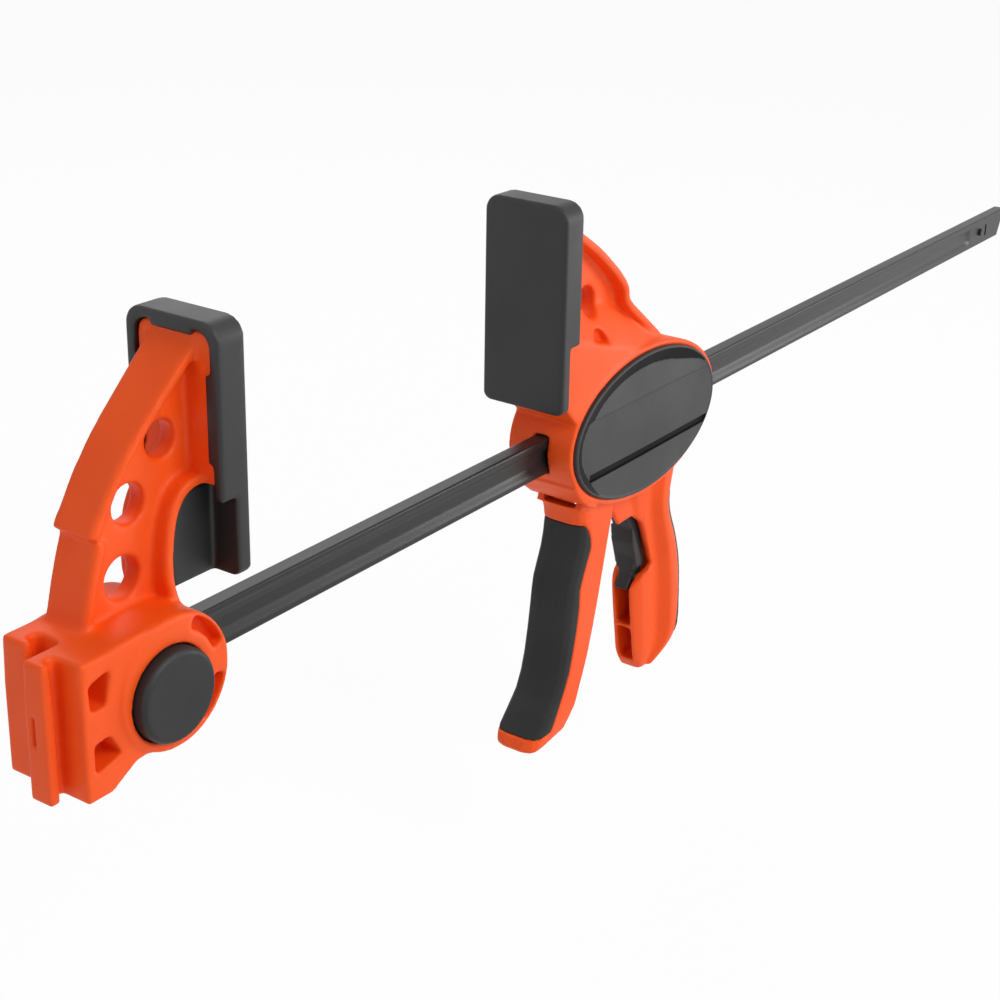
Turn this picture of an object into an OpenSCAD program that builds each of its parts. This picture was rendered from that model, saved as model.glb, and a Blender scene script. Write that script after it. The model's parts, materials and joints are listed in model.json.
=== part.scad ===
// Quick release bar clamp. The origin is the centre of the fixed pad's clamping face.
// +X runs along the bar from the fixed jaw to the moving jaw, and +Z points from the bar to the pads.

/* [Bar] */
// Height of the bar's section
bar_h = 13.5; // [11:0.1:15]
// Thickness of the bar's section
bar_t = 5.7; // [4.5:0.1:6]
// Height of the groove rolled along each side
groove_h = 7.6; // [5:0.1:9]
// Depth of that groove
groove_depth = 1.1; // [0.4:0.1:1.5]
// From the fixed pad's face to the bar's far end
bar_reach = 588; // [330:1:1200]
// Length of the bar behind the fixed pad's face
bar_tail = 46; // [44:0.5:48]
// Length of the slanted cut across the far end
bar_slant = 7.5; // [1:0.5:9]
// Length at the far end without a groove
plain_end = 45; // [40:1:60]
// From the bar's far end to the stop pin
stop_inset = 32; // [20:1:36]
// Diameter of the stop pin
stop_d = 3.6; // [2.5:0.1:5]
// How far the stop pin stands out of each side
stop_proud = 1.3; // [0.6:0.1:2.5]

/* [Pads] */
// Width of a pad's face
pad_w = 32.8; // [30:0.2:40]
// Height of a pad's top edge over the bar's axis
pad_top = 92.8; // [85:0.2:120]
// Height of a pad's bottom edge over the bar's axis
pad_low = 20.6; // [20.5:0.1:24]
// Height at which the deep rim ends and the thin lip begins
pad_notch = 43.7; // [40:0.1:46]
// Depth of the rim, from face to back
pad_deep = 10.2; // [9.5:0.1:12]
// Thickness of the face and of the lower lip
pad_skin = 4.6; // [3:0.1:5.5]
// Thickness of the rim's wall
pad_wall = 3.2; // [2:0.1:4]
// Radius of the face's corners
pad_corner = 5.6; // [2:0.1:9]
// Width of the block that braces the fixed pad's lip
brace_w = 14; // [8:0.5:17]

/* [Jaw plates and arms] */
// Height of a jaw plate's lower edge over the bar's axis
plate_low = 47.5; // [46.5:0.1:52]
// How far a jaw plate's back stands behind the clamping face
plate_back = 9.2; // [8:0.1:9.4]
// Width of the flanges that edge an arm
flange_w = 18; // [15:0.5:22]
// Thickness of those flanges
flange_t = 3.2; // [2:0.1:4]
// Thickness of the web between the flanges
web_t = 6.6; // [4:0.1:9]
// How far the fixed arm sweeps back
arm_sweep = 52; // [48:0.5:56]
// Diameter of the lightening holes
hole_d = 11; // [7:0.5:12]

/* [Fixed jaw base] */
// Diameter of the boss round the button
boss_d = 38; // [36:0.5:40]
// From the clamping face back to the boss's axis
boss_back = 29.8; // [29:0.1:31]
// Height of the boss's axis over the bar's axis
boss_rise = 0.6; // [0:0.1:1.2]
// Near side of the base, from the bar's axis
base_near = 16.4; // [15:0.1:19]
// Far side of the base, from the bar's axis
base_far = 12.8; // [11:0.1:16]
// Top of the end block over the bar's axis
block_top = 18; // [16:0.5:20]
// Bottom of the end block under the bar's axis
block_low = 21.2; // [18:0.1:24]
// From the clamping face back to the end block's end
block_back = 60.5; // [59.5:0.1:64]
// Length of the end block
block_l = 13.5; // [11:0.5:15]
// Depth of the pockets in the end block's sides
pocket_depth = 8; // [4:0.5:9]

/* [Coupling] */
// How far the rail stands out of the end block
rail_out = 6.2; // [5:0.1:8]
// Thickness of the rail's head
rail_head_t = 3.1; // [2:0.1:4]
// Width of the rail's head
rail_head_w = 7.8; // [7:0.1:9]
// Width of the rail's stem
rail_stem_w = 4.6; // [4:0.1:5]
// Running clearance between a rail and a mating channel
rail_clear = 0.3; // [0.1:0.05:0.6]

/* [Lock button] */
// Diameter of the push button
button_d = 26.4; // [24:0.2:29]
// How far the button stands out of the boss
button_proud = 3.5; // [2:0.1:5]
// From the clamping face back to the button's axis
button_back = 32.1; // [30:0.1:32.5]
// How far the button's axis lies below the bar's axis
button_drop = 1.5; // [0:0.1:2]
// Travel of the button
button_travel = 1.8; // [1:0.1:1.8]
// Diameter of the lock pin where it fills the bar's hole
lock_d = 5.5; // [4:0.1:7]
// Diameter of the lock pin's neck, which passes the slot in the bar's end
lock_neck_d = 3; // [2:0.1:3.4]
// Clearance of that neck in the slot
lock_slot_clear = 0.2; // [0.1:0.05:0.4]
// How deep the lock pin's head sits in the bar's hole
lock_hold = 1.4; // [0.6:0.1:1.5]
// Clearance round the lock pin
lock_clear = 0.05; // [0.02:0.01:0.1]

/* [Moving jaw] */
// Distance between the two clamping faces as drawn
jaw_gap = 149; // [40:1:240]
// From the clamping face to the handle's rearmost point
jaw_l = 99; // [96:0.5:104]
// Length of the oval housing
house_l = 99; // [95:0.5:104]
// Height of the oval housing
house_h = 57.6; // [56:0.2:62]
// Width of the housing over its rims
house_w = 26.4; // [26:0.2:30]
// From the clamping face to the middle of the oval
house_mid = 60.6; // [60:0.2:63]
// Height of the oval's middle over the bar's axis
house_rise = 1.2; // [0:0.1:3]
// Width of the cavity for the trigger and levers
cavity_w = 20; // [19.8:0.1:21]
// Thickness of the oval wall, seen from the side
house_wall = 4.3; // [3.5:0.1:5.5]
// Width of the rim round each cover
rim_w = 2.1; // [1.5:0.1:3]
// How deep each cover is let into the housing
cover_deep = 1.2; // [0.8:0.1:1.4]
// How far a cover's middle stands out of the rim
cover_proud = 1.2; // [0.5:0.1:2]
// Clearance of the bar in its slots
bar_clear = 0.25; // [0.1:0.05:0.4]

/* [Handle and trigger] */
// From the bar's axis down to the lowest point of handle and trigger
grip_drop = 112; // [104:0.5:122]
// Width of the handle over its ridges
handle_w = 22.4; // [19:0.2:26]
// Width of the neck that holds the release lever
neck_w = 12.4; // [12:0.1:12.8]
// Width of the slot in the neck
neck_slot = 8.4; // [8.2:0.1:9]
// Width of the channel down the handle
channel_w = 6.2; // [5.8:0.1:7]
// Thickness of the soft strip down the handle's back
strip_t = 2; // [1.2:0.1:3]
// Width of that strip
strip_w = 14.5; // [9:0.5:15]
// Width of the trigger
trigger_w = 19.4; // [18.8:0.1:19.6]
// Width inside the trigger
trigger_inside = 13.4; // [13.2:0.1:14.5]
// Thickness of the soft grip on the trigger
soft_t = 1.8; // [1:0.1:2.6]
// Height of the trigger's pivot over the bar's axis
pivot_rise = 14.5; // [13:0.1:15.5]
// Diameter of the pivot pin
pivot_d = 4; // [3:0.1:5]
// Radial clearance of the pivot pin in the trigger
pivot_clear = 0.06; // [0.02:0.01:0.1]

/* [Levers and springs] */
// Thickness of the drive lever
drive_t = 4; // [3:0.1:5]
// Width of the drive lever
drive_w = 12.6; // [11:0.1:12.8]
// Height of the drive lever
drive_h = 30; // [26:0.5:32]
// Lean of the drive lever at rest, in degrees
drive_lean = 3; // [1:0.5:4]
// Thickness of the brake lever
brake_t = 3.5; // [2.5:0.1:4]
// Width of the brake lever
brake_w = 15; // [11:0.5:17]
// Lean of the brake lever at rest, in degrees
brake_lean = 6; // [4:0.5:7]
// Height over the bar's axis of the edge that the brake lever tips on
brake_rise = 16; // [14:0.5:18]
// Width of the release lever in the neck
release_w = 7.8; // [7:0.1:8]
// Width of the face that the finger presses
release_face_w = 9.8; // [8.5:0.1:12]
// Diameter of the release lever's pin
release_pin_d = 3; // [2:0.1:4]
// Outside diameter of the two springs round the bar
spring_d = 17.6; // [17:0.1:18.5]
// Wire of those springs
spring_wire = 1.2; // [0.8:0.1:1.3]

/* [Hidden] */
$fn = 48;
// Small lengths shared by many pieces
over = 1;
seat = 0.05;
bar_z = -(pad_low + pad_top) / 2;
orange = "#f2591e";
black = "#2b2c2e";
steel = "#8d9196";
oxide = "#232426";

// Points of a smooth line through the given points
function spline_at(a, b, c, d, t) =
    0.5 * (2 * b + (c - a) * t + (2 * a - 5 * b + 4 * c - d) * t * t
    + (3 * b - a - 3 * c + d) * t * t * t);
function pick(p, i) = p[max(0, min(len(p) - 1, i))];
function curve(p, steps = 4) = concat(
    [for (i = [0:len(p) - 2], k = [0:steps - 1])
        spline_at(pick(p, i - 1), p[i], p[i + 1], pick(p, i + 2), k / steps)],
    [p[len(p) - 1]]);
// The same line moved sideways by d, to its right
function side_of(p, i) = let (v = pick(p, i + 1) - pick(p, i - 1)) [v[1], -v[0]] / norm(v);
function beside(p, d) = [for (i = [0:len(p) - 1]) p[i] + d * side_of(p, i)];
function back(p) = [for (i = [len(p) - 1:-1:0]) p[i]];
function oval(l, h, n = 72) = [for (i = [0:n - 1]) [cos(360 * i / n) * l, sin(360 * i / n) * h] / 2];
// Points given as shares of a length and a height
function sized(shares, l, h) = [for (s = shares) [s[0] * l, s[1] * h]];

// Frames that the pieces are drawn in
module at_bar() translate([0, 0, bar_z]) children();
module at_jaw() translate([jaw_gap, 0, bar_z]) children();
// An outline in the XZ plane, w thick over the middle plane
module slab(w) rotate([90, 0, 0]) linear_extrude(height = w, center = true) children();
// The same between two distances from the middle plane
module side_slab(from_y, to_y)
    translate([0, from_y, 0]) rotate([90, 0, 0]) mirror([0, 0, 1])
        linear_extrude(height = to_y - from_y) children();
// A round bar along Y through a point of the XZ plane
module cross_pin(p, d, from_y, to_y)
    translate([p[0], from_y, p[1]]) rotate([-90, 0, 0]) cylinder(d = d, h = to_y - from_y);
// A solid through rings of points, one ring after the other
module loft(rings) {
    n = len(rings[0]);
    last = len(rings) - 1;
    points = concat([for (r = rings) each r], [middle(rings[0])], [middle(rings[last])]);
    walls = [for (i = [0:last - 1], k = [0:n - 1]) let (m = (k + 1) % n, a = i * n, b = a + n)
        each [[a + k, b + m, a + m], [a + k, b + k, b + m]]];
    low = [for (k = [0:n - 1]) [n * len(rings), k, (k + 1) % n]];
    high = [for (k = [0:n - 1]) [n * len(rings) + 1, last * n + (k + 1) % n, last * n + k]];
    polyhedron(points = points, faces = concat(walls, low, high));
}
function middle(ring) = (ring[0] + ring[len(ring) / 2 - 1] + ring[len(ring) / 2] + ring[len(ring) - 1]) / 4;

// Bar
bar_chamfer = bar_t / 12;
lock_x = -button_back;
lock_z = -button_drop;
function bar_section() = let (t = bar_t / 2, h = bar_h / 2, g = groove_h / 2, s = groove_depth,
    c = bar_chamfer) [
    [h, t - c], [h - c, t], [g + s, t], [g, t - s], [-g, t - s], [-g - s, t], [c - h, t], [-h, t - c],
    [-h, c - t], [c - h, -t], [-g - s, -t], [-g, s - t], [g, s - t], [g + s, -t], [h - c, -t], [h, c - t]];
plain_h = groove_h + 2 * groove_depth;
end_lean = bar_slant / bar_h;
module bar() color(oxide) at_bar() difference() {
    union() {
        translate([-bar_tail, 0, 0]) rotate([0, -90, 0]) mirror([0, 0, 1])
            linear_extrude(height = bar_tail + bar_reach) polygon(bar_section());
        translate([bar_reach - plain_end, -bar_t / 2, -plain_h / 2]) cube([plain_end, bar_t, plain_h]);
    }
    slab(bar_h) polygon([[bar_reach + over * end_lean, bar_h / 2 + over],
        [bar_reach - bar_slant - over * end_lean, -bar_h / 2 - over],
        [bar_reach + over, -bar_h / 2 - over], [bar_reach + over, bar_h / 2 + over]]);
    cross_pin([lock_x, lock_z], lock_d + 2 * lock_clear, -bar_t, bar_t);
    translate([-bar_tail - over, -bar_t, lock_z - lock_neck_d / 2 - lock_slot_clear])
        cube([over + bar_tail - button_back, 2 * bar_t, lock_neck_d + 2 * lock_slot_clear]);
    cross_pin([bar_reach - stop_inset, 0], stop_d, -bar_t, bar_t);
}

// Stop pin at the bar's far end, peened over on both sides
module bar_stop_pin() color(steel) at_bar()
    cross_pin([bar_reach - stop_inset, 0], stop_d, -bar_t / 2 - stop_proud, bar_t / 2 + stop_proud);

// Pads
function pad_outline(inset) = let (r = pad_corner - inset / 2, w = pad_w / 2 - inset,
    top = pad_top - inset) concat(
    [for (a = [0:15:90]) [w - r + r * cos(a), top - r + r * sin(a)]],
    [for (a = [90:15:180]) [r - w + r * cos(a), top - r + r * sin(a)]]);
lip_corner = pad_corner / 2;
module pad_face(thick)
    translate([-thick, 0, 0]) rotate([90, 0, 90]) linear_extrude(height = thick)
        polygon(concat(pad_outline(0),
            [for (a = [180:15:270]) [lip_corner - pad_w / 2 + lip_corner * cos(a),
                pad_low + lip_corner + lip_corner * sin(a)]],
            [for (a = [270:15:360]) [pad_w / 2 - lip_corner + lip_corner * cos(a),
                pad_low + lip_corner + lip_corner * sin(a)]]));
tab_share = 0.55;
tab_lap = pad_wall / 2;
tab_t = pad_deep - plate_back - seat;
module pad_rim() difference() {
    translate([-pad_deep, 0, 0]) rotate([90, 0, 90]) linear_extrude(height = pad_deep - pad_skin + seat)
        difference() {
            polygon(concat(pad_outline(0), [[-pad_w / 2, pad_notch], [pad_w / 2, pad_notch]]));
            polygon(concat(pad_outline(pad_wall),
                [[pad_wall - pad_w / 2, pad_notch - over], [pad_w / 2 - pad_wall, pad_notch - over]]));
        }
}
module pad_tabs() {
    top_w = (pad_w - 2 * pad_wall) * tab_share;
    side_h = (pad_top - plate_low) * tab_share;
    translate([-pad_deep, -top_w / 2, pad_top - pad_wall - tab_lap]) cube([tab_t, top_w, tab_lap + seat]);
    for (s = [-1, 1])
        translate([-pad_deep, s * (pad_w / 2 - pad_wall - tab_lap / 2) - tab_lap / 2 - seat / 2,
            plate_low + side_h / 4])
            cube([tab_t, tab_lap + seat, side_h]);
}
module pad() {
    pad_face(pad_skin);
    pad_rim();
    pad_tabs();
}
module fixed_jaw_pad() color(black) at_bar() {
    pad();
    difference() {
        translate([-brace_back, -brace_w / 2, pad_low])
            cube([brace_back - pad_skin + seat, brace_w, plate_low - brace_clear - pad_low]);
        slab(flange_w) polygon(concat(beside(inner_curve(), -brace_clear),
            [[-arm_sweep, 0], [-arm_sweep, pad_top], [-plate_back - brace_clear, pad_top]]));
    }
}
brace_clear = 0.3;
brace_back = arm_sweep * 0.42;
module moving_jaw_pad() color(black) at_jaw() mirror([1, 0, 0]) pad();

// Jaw plate, shared by both jaws: the pad's rim hugs it
plate_clear = 0.1;
module jaw_plate() {
    w = pad_w / 2 - pad_wall - plate_clear;
    translate([-plate_back, 0, 0]) rotate([90, 0, 90])
        linear_extrude(height = plate_back - pad_skin)
            polygon(concat(pad_outline(pad_wall + plate_clear), [[-w, plate_low], [w, plate_low]]));
}

// Fixed jaw. The arm's back and inner curves are shares of its sweep and of the pad's height.
arm_back_shares = [[-0.17, 0.938], [-0.338, 0.846], [-0.58, 0.706], [-0.715, 0.603], [-0.862, 0.46]];
arm_heel_shares = [[-0.812, 0.442], [-0.877, 0.334], [-0.938, 0.205], [-0.965, 0.13]];
arm_inner_shares = [[-0.185, 0.512], [-0.285, 0.495], [-0.355, 0.44], [-0.388, 0.35], [-0.392, 0.26],
    [-0.362, 0.185], [-0.35, 0.13]];
function back_curve() = curve(sized(arm_back_shares, arm_sweep, pad_top), 7);
function heel_curve() = curve(sized(arm_heel_shares, arm_sweep, pad_top), 6);
function inner_curve() = curve(sized(arm_inner_shares, arm_sweep, pad_top), 6);
arm_hole_shares = [[-0.345, 0.661, 0.95], [-0.575, 0.508, 1], [-0.64, 0.297, 1.08]];
// Towards the base the outer flange draws in on the near side and flares a little on the far side
flange_tuck = 4;
flange_flare = 1;
module flange_taper() translate([-arm_sweep - over, 0, 0]) rotate([90, 0, 90])
    linear_extrude(height = arm_sweep)
        polygon([[-flange_w / 2, pad_top], [flange_tuck - flange_w / 2, pad_notch],
            [flange_tuck - flange_w / 2, 0], [flange_w / 2 + flange_flare, 0],
            [flange_w / 2 + flange_flare, pad_notch], [flange_w / 2, pad_top * 0.75], [flange_w / 2, pad_top]]);
module arm_flanges() {
    intersection() {
        slab(2 * flange_w) union() {
            polygon(concat(back_curve(), back(beside(back_curve(), -flange_t))));
            polygon(concat(heel_curve(), back(beside(heel_curve(), -flange_t))));
        }
        flange_taper();
    }
    slab(flange_w) polygon(concat(inner_curve(), back(beside(inner_curve(), flange_t))));
}
module arm_web() slab(web_t) polygon(concat(back_curve(), heel_curve(), back(inner_curve()),
    [[-plate_back + seat, plate_low], [-plate_back + seat, pad_top * 0.93]]));
// Underside of the base, as shares of the end block's length and of its drop under the bar's axis
base_under_shares = [[0, -1], [0.62, -1], [1.24, -0.77], [1.72, -0.755], [2.27, -0.86]];
module base_solid() {
    side_slab(-base_near, base_far)
        polygon(concat([for (q = base_under_shares) [q[0] * block_l - block_back, q[1] * block_low]],
            [[-boss_back, boss_rise + boss_d / 2], [-block_back + block_l, block_top * 1.03],
            [-block_back + block_l * 0.65, block_top], [-block_back, block_top]]));
    cross_pin([-boss_back, boss_rise], boss_d, -base_near - boss_lip, base_far + boss_lip);
}
boss_lip = 1.1;
kidney_gap = 1.1;
kidney_rim = 1.3;
kidney_in = button_d / 2 + kidney_gap;
kidney_out = boss_d / 2 - kidney_rim;
kidney_angles = [[17, 65], [-58, -14]];
function sector(r, a, b) = [for (k = [0:8]) let (t = a + (b - a) * k / 8) r * [cos(t), sin(t)]];
// Pocket outlines in the end block's side, as shares of the block's length and height
pocket_shares = [[[0.19, 0.097], [0.55, 0.094], [0.7, 0.329], [0.18, 0.28]],
    [[0.23, -0.143], [0.61, -0.133], [0.88, -0.298], [0.23, -0.355]]];
module base_pockets() {
    block_h = block_top + block_low;
    for (ring = kidney_angles)
        translate([-boss_back, 0, boss_rise])
            side_slab(-base_near - boss_lip - over, -base_near + pocket_depth / 2)
            polygon(concat(sector(kidney_out, ring[0], ring[1]), back(sector(kidney_in, ring[0], ring[1]))));
    for (p = pocket_shares, s = [-1, 1])
        translate([-block_back, 0, 0])
            side_slab(s < 0 ? -base_near - over : base_far - pocket_depth / 2,
                s < 0 ? -base_near + pocket_depth : base_far + over)
                polygon(sized(p, block_l, block_h));
}
// Coupling: a hooked rail on one half of the end and a matching channel on the other, so that two
// clamps slide together end to end. The rail's flat side runs on into the channel's wall.
base_mid_y = (base_far - base_near) / 2;
rail_side = base_mid_y - rail_clear / 2;
module coupling_rail() translate([-block_back, rail_side, -block_low])
    linear_extrude(height = block_low + block_top) {
        translate([-rail_out, -rail_stem_w]) square([rail_out + over, rail_stem_w]);
        translate([-rail_out, -rail_head_w]) square([rail_head_t, rail_head_w]);
    }
// Narrow slit in the rail's face
slit_w = 1.2;
slit_h = 9;
module rail_slit() translate([-block_back - rail_out - over, rail_side - rail_head_w / 2 + slit_w / 2,
    -slit_h * 0.65]) cube([over + rail_head_t / 2, slit_w, slit_h]);
module coupling_channel() translate([-block_back, rail_side, -block_low - over])
    linear_extrude(height = block_low + block_top + 2 * over) {
        translate([-over, 0]) square([rail_out + over, rail_stem_w + 2 * rail_clear]);
        translate([rail_out - rail_head_t - rail_clear, 0])
            square([rail_head_t + 2 * rail_clear, rail_head_w + 2 * rail_clear]);
    }
button_clear = 0.2;
button_bore = button_d + 2 * button_clear;
bore_floor = 7.4;
module fixed_jaw_body() color(orange) at_bar() difference() {
    union() {
        jaw_plate();
        arm_flanges();
        arm_web();
        base_solid();
        coupling_rail();
    }
    for (h = arm_hole_shares)
        cross_pin([h[0] * arm_sweep, h[1] * pad_top], h[2] * hole_d, -flange_w, flange_w);
    translate([-bar_tail - bar_clear, -bar_t / 2 - bar_clear, -bar_h / 2 - bar_clear])
        cube([bar_tail, bar_t + 2 * bar_clear, bar_h + 2 * bar_clear]);
    cross_pin([lock_x, lock_z], button_bore, -base_near - boss_lip - over, -bore_floor);
    cross_pin([lock_x, lock_z], lock_d + 2 * lock_clear, -base_near, base_far);
    cross_pin([lock_x, lock_z], clip_pocket_d, clip_floor, base_far + boss_lip + over);
    base_pockets();
    coupling_channel();
    rail_slit();
}
clip_pocket_d = 14;
clip_floor = 7;

// Push button: a cap with a skirt that slides in the boss
button_skin = 2.4;
button_edge = 1;
button_front = base_near + boss_lip + button_proud;
button_depth = button_front - bore_floor - button_travel - seat;
module release_button() color(black) at_bar() translate([lock_x, -button_front, lock_z]) rotate([-90, 0, 0])
    rotate_extrude() polygon([[0, 0], [button_d / 2 - button_edge, 0], [button_d / 2, button_edge],
        [button_d / 2, button_depth], [button_d / 2 - button_skin, button_depth],
        [button_d / 2 - button_skin, button_skin], [lock_d / 2 + button_skin, button_skin],
        [lock_d / 2 + button_skin, button_depth - button_travel],
        [0, button_depth - button_travel]]);

// Lock pin: at rest its head sits in the bar's hole from the far side. Pushed, the head leaves the
// hole, and the neck lets the slotted end of the bar slide out of the jaw.
clip_t = 1;
clip_groove_d = lock_d - 1.6 * clip_t;
pin_start = button_front - button_depth + button_travel;
pin_end = clip_floor + clip_t + 1.5 * clip_t;
neck_start = bar_t / 2 + button_travel + lock_slot_clear;
head_start = bar_t / 2 - lock_hold;
module lock_pin() color(steel) at_bar() translate([lock_x, 0, lock_z]) rotate([-90, 0, 0])
    rotate_extrude() polygon([[0, -pin_start], [lock_d / 2, -pin_start], [lock_d / 2, -neck_start],
        [lock_neck_d / 2, -neck_start], [lock_neck_d / 2, head_start], [lock_d / 2, head_start],
        [lock_d / 2, clip_floor + seat],
        [clip_groove_d / 2, clip_floor + seat], [clip_groove_d / 2, clip_floor + seat + clip_t],
        [lock_d / 2, clip_floor + seat + clip_t], [lock_d / 2, pin_end], [0, pin_end]]);
module lock_pin_clip() color(steel) at_bar() translate([lock_x, 0, lock_z]) rotate([-90, 0, 0])
    translate([0, 0, clip_floor + seat]) difference() {
        cylinder(d = lock_d + 4 * clip_t, h = clip_t);
        translate([0, 0, -over]) cylinder(d = clip_groove_d, h = clip_t + 2 * over);
        translate([0, -clip_groove_d / 2 + clip_t / 2, -over])
            cube([lock_d + 4 * clip_t, clip_groove_d - clip_t, clip_t + 2 * over]);
    }
button_spring_d = lock_d + 2 * button_skin + 4 * spring_wire;
module button_spring() color(steel) at_bar() translate([lock_x, -button_front + button_skin, lock_z])
    rotate([-90, 0, 0]) difference() {
        cylinder(d = button_spring_d, h = button_front - button_skin - bore_floor);
        translate([0, 0, -over]) cylinder(d = button_spring_d - 2 * spring_wire, h = button_front);
    }

// Moving jaw. Its outlines are shares of the housing's length and of the heights over the bar.
jaw_back_shares = [[0.09, 0.925], [0.165, 0.882], [0.24, 0.835], [0.337, 0.767], [0.424, 0.693],
    [0.487, 0.633], [0.533, 0.571], [0.547, 0.517], [0.651, 0.426], [0.764, 0.328], [0.82, 0.26]];
function jaw_back() = curve(sized(jaw_back_shares, jaw_l, pad_top), 5);
// The shoulder that joins arm and housing. Over its falling top edge the web narrows from the
// shoulder's width to its own.
jaw_shoulder_shares = [[0.06, 0.48], [0.145, 0.455], [0.25, 0.42], [0.32, 0.4], [0.53, 0.325], [0.6, 0.3],
    [0.7, 0.1], [0.3, 0], [0.16, 0.13], [0.06, 0.245]];
shoulder_at_shares = [0.3155, 0.41];
shoulder_fall = 17.5;
taper_h = 15;
taper_side = house_w / 2 - 1;
module on_shoulder() translate([shoulder_at_shares[0] * jaw_l, 0, shoulder_at_shares[1] * pad_top])
    rotate([0, shoulder_fall, 0]) children();
module web_taper() intersection() {
    slab(house_w) polygon(concat(beside(jaw_back(), flange_t * 0.8), [[house_mid, 0], [plate_back, pad_low]]));
    on_shoulder() rotate([90, 0, 90]) linear_extrude(height = 2 * jaw_l, center = true)
        polygon([[-taper_side, -pad_low], [-taper_side, 0], [-web_t / 3, taper_h], [web_t / 3, taper_h],
            [taper_side, 0], [taper_side, -pad_low]]);
}
// Arched notch in each side of the shoulder, on its top edge
arch_d = 11;
arch_sink = 1;
arch_floor = 7;
module shoulder_arch() on_shoulder() intersection() {
    cross_pin([0, -arch_sink], arch_d, arch_floor, house_w);
    translate([-arch_d, 0, 0]) cube([2 * arch_d, house_w, arch_d]);
}
// Lip of the housing over the top of the trigger
jaw_lip_shares = [[0.15, -0.1], [0.2, -0.154], [0.245, -0.185], [0.3, -0.21], [0.3, -0.1]];
module jaw_arm() {
    slab(flange_w) polygon(concat(jaw_back(), back(beside(jaw_back(), flange_t))));
    slab(web_t) polygon(concat(jaw_back(), [[house_mid, 0], [jaw_back()[0][0], pad_low]]));
    slab(flange_w) polygon([[pad_skin + plate_clear, pad_low + flange_t],
        [pad_skin + plate_clear, plate_low + seat], [plate_back + flange_t, plate_low + flange_t],
        [plate_back + flange_t, pad_low]]);
    slab(house_w - 2 * rim_step) polygon(sized(jaw_shoulder_shares, jaw_l, pad_top));
    web_taper();
    slab(house_w - 2 * rim_step) polygon(sized(jaw_lip_shares, jaw_l, grip_drop));
}
rim_step = 0.5;
jaw_hole_at_shares = [0.335, 0.55];
// Handle stations: front and rear edge, then half the width at each, all as shares
handle_shares = [[0.6, -0.17, 0.93, -0.2, 0.55, 0.98], [0.626, -0.286, 0.9, -0.282, 0.55, 0.98],
    [0.648, -0.345, 0.884, -0.343, 0.52, 0.98], [0.667, -0.402, 0.896, -0.403, 0.48, 0.98],
    [0.682, -0.51, 0.946, -0.505, 0.43, 1], [0.695, -0.61, 0.98, -0.605, 0.43, 1],
    [0.712, -0.73, 0.995, -0.725, 0.43, 1], [0.737, -0.86, 0.997, -0.859, 0.43, 0.96],
    [0.752, -0.93, 0.96, -0.924, 0.42, 0.84], [0.79, -0.99, 0.868, -0.99, 0.36, 0.56]];
// A station's half outline: place from front to rear, then shares of the two half widths
handle_ring_shares = [[0, 0.8, 0], [0.04, 1, 0], [0.16, 1, 0.28], [0.34, 1, 0.42], [0.48, 1, 0.3],
    [0.54, 1, 0.36], [0.68, 1, 1], [0.84, 1, 1], [0.95, 0.88, 0.88], [1, 0.62, 0.62]];
function handle_half(s, wf, wr) = [for (q = handle_ring_shares) [q[0], q[1] * wf + q[2] * (wr - wf)]];
function station(s, half) = let (f = [s[0] * jaw_l, s[1] * grip_drop], r = [s[2] * jaw_l, s[3] * grip_drop])
    concat([for (h = half) let (p = f + (r - f) * h[0]) [p[0], h[1], p[1]]],
        [for (h = back(half)) let (p = f + (r - f) * h[0]) [p[0], -h[1], p[1]]]);
module handle_solid() loft([for (s = curve(handle_shares, 3))
    station(s, handle_half(s, s[4] * handle_w / 2, s[5] * handle_w / 2))]);
function handle_rear() = curve([for (i = [1:len(handle_shares) - 2])
    [handle_shares[i][2] * jaw_l, handle_shares[i][3] * grip_drop]], 3);
neck_shares = [[0.51, -0.1], [0.51, -0.295], [0.57, -0.366], [0.668, -0.362], [0.72, -0.39], [0.74, -0.1]];
neck_front = neck_shares[0][0] * jaw_l;
notch_shares = [[0.5, -0.41], [0.57, -0.368], [0.668, -0.364], [0.721, -0.4], [0.815, -0.585], [0.758, -0.607],
    [0.7, -0.65], [0.5, -0.65]];
neck_slot_shares = [[0.535, 0], [0.535, -0.28], [0.56, -0.45], [0.68, -0.61], [0.83, -0.61], [0.8, -0.4],
    [0.77, -0.19], [0.77, 0]];
channel_shares = [[[0.6, -0.6], [0.85, -0.6], [0.88, -0.7], [0.895, -0.8], [0.62, -0.8]],
    [[0.62, -0.815], [0.895, -0.815], [0.88, -0.88], [0.83, -0.935], [0.75, -0.95], [0.62, -0.9]]];
mouth_shares = [[0.245, 0], [0.245, -0.34], [0.645, -0.34], [0.645, 0]];
module handle_cuts() {
    slab(handle_w) polygon(sized(notch_shares, jaw_l, grip_drop));
    slab(neck_slot) polygon(sized(neck_slot_shares, jaw_l, grip_drop));
    for (p = channel_shares)
        slab(channel_w) polygon(sized(p, jaw_l, grip_drop));
    slab(strip_w + 2 * seat) polygon(concat(beside(handle_rear(), strip_t + seat),
        back(beside(handle_rear(), -strip_t))));
}
cavity_l = house_l - 2 * house_wall;
cavity_h = house_h - 2 * house_wall;
cover_l = house_l - 2 * rim_w;
cover_h = house_h - 2 * rim_w;
wall_y = house_w / 2 - cover_deep;
rib_t = 2.6;
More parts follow.
